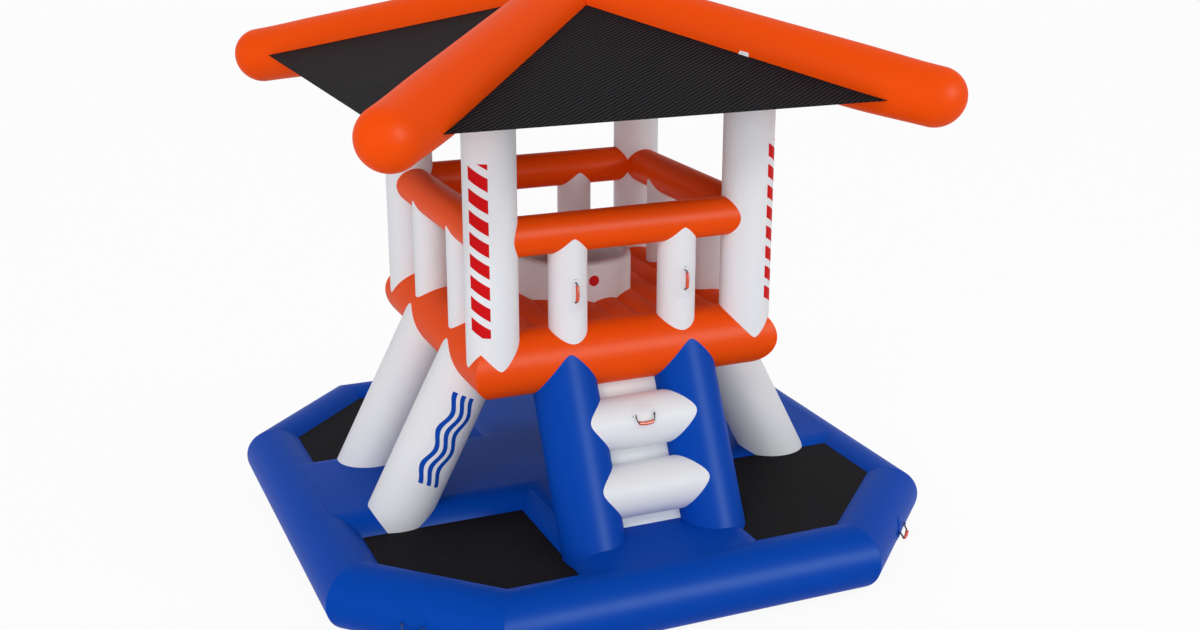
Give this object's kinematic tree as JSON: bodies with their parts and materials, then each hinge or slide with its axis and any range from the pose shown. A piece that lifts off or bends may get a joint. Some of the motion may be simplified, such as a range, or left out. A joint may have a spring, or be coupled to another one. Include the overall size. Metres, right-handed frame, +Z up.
{
  "type": "inflatable lifeguard tower",
  "caption": "Floating lifeguard tower built from inflated tubes: base ring and cross platform, ladder, railed deck with a round seat, and a netted roof on corner posts.",
  "frame": {"origin": "on the floor, under the middle of the base ring", "axes": "+Z up; the ladder faces -Y; +X is to the right seen from the ladder"},
  "size_m": [5, 5, 4.5583],
  "materials": {
    "blue_fabric": "satin",
    "net": "matte",
    "white_fabric": "satin",
    "orange_fabric": "satin",
    "grip": "satin",
    "valve": "matte",
    "valve_stem": "matte"
  },
  "bodies": {
    "tower": {"base_tube_front": "blue_fabric", "base_tube_front_right": "blue_fabric", "base_tube_right": "blue_fabric", "base_tube_rear_right": "blue_fabric", "base_tube_rear": "blue_fabric", "base_tube_rear_left": "blue_fabric", "base_tube_left": "blue_fabric", "base_tube_front_left": "blue_fabric", "platform_cross": "blue_fabric", "ladder_stringer_left": "blue_fabric", "ladder_stringer_right": "blue_fabric", "floor_net_front_left": "net", "floor_net_front_right": "net", "floor_net_rear_right": "net", "floor_net_rear_left": "net", "roof_net_front": "net", "roof_net_right": "net", "roof_net_rear": "net", "roof_net_left": "net", "leg_left_front": "white_fabric", "leg_left_rear": "white_fabric", "leg_right_front": "white_fabric", "leg_right_rear": "white_fabric", "ladder_panel": "white_fabric", "ladder_step_upper": "white_fabric", "ladder_step_lower": "white_fabric", "seat_ring": "white_fabric", "corner_post_front_left": "white_fabric", "corner_post_front_right": "white_fabric", "corner_post_rear_right": "white_fabric", "corner_post_rear_left": "white_fabric", "rail_pillar_front_left": "white_fabric", "rail_pillar_front_right": "white_fabric", "rail_pillar_right_front": "white_fabric", "rail_pillar_right_rear": "white_fabric", "rail_pillar_rear_right": "white_fabric", "rail_pillar_rear_left": "white_fabric", "rail_pillar_left_rear": "white_fabric", "rail_pillar_left_front": "white_fabric", "deck_tube_front": "orange_fabric", "deck_tube_right": "orange_fabric", "deck_tube_rear": "orange_fabric", "deck_tube_left": "orange_fabric", "deck_floor": "orange_fabric", "rail_front": "orange_fabric", "rail_right": "orange_fabric", "rail_rear": "orange_fabric", "rail_left": "orange_fabric", "roof_tube_front_left": "orange_fabric", "roof_tube_front_right": "orange_fabric", "roof_tube_rear_right": "orange_fabric", "roof_tube_rear_left": "orange_fabric", "valve_body": "valve"},
    "pillar_handle_left": {"handle_pillar_left": "grip"},
    "pillar_handle_right": {"handle_pillar_right": "grip"},
    "step_handle": {"handle_step": "grip"},
    "base_handle_left": {"handle_base_left": "grip"},
    "base_handle_right": {"handle_base_right": "grip"},
    "valve_cap_body": {"valve_cap": "valve"},
    "valve_poppet_body": {"valve_poppet": "valve_stem"}
  },
  "joints": [
    {"name": "pillar_handle_left_swing", "type": "hinge", "parent": "tower", "child": "pillar_handle_left", "pos_m": [-0.45, -1.213, 2.277], "axis": [0, 0, 1], "range_deg": [-70, 70]},
    {"name": "pillar_handle_right_swing", "type": "hinge", "parent": "tower", "child": "pillar_handle_right", "pos_m": [0.45, -1.213, 2.277], "axis": [0, 0, 1], "range_deg": [-70, 70]},
    {"name": "step_handle_lift", "type": "hinge", "parent": "tower", "child": "step_handle", "pos_m": [0, -1.4828, 1.3397], "axis": [-1, 0, 0], "range_deg": [0, 150]},
    {"name": "base_handle_left_lift", "type": "hinge", "parent": "tower", "child": "base_handle_left", "pos_m": [-2.01227, -2.01227, 0.25925], "axis": [-0.7071, 0.7071, 0], "range_deg": [0, 120]},
    {"name": "base_handle_right_lift", "type": "hinge", "parent": "tower", "child": "base_handle_right", "pos_m": [2.01227, -2.01227, 0.25925], "axis": [-0.7071, -0.7071, 0], "range_deg": [0, 120]},
    {"name": "valve_cap_turn", "type": "hinge", "parent": "tower", "child": "valve_cap_body", "pos_m": [0, 2.42911, 0.42911], "axis": [0, 0.7071, 0.7071], "range_deg": [0, 90]},
    {"name": "valve_poppet_press", "type": "slide", "parent": "tower", "child": "valve_poppet_body", "axis": [0, -0.7071, -0.7071], "range_m": [0, 0.008], "stiffness_N_per_m": 100}
  ]
}
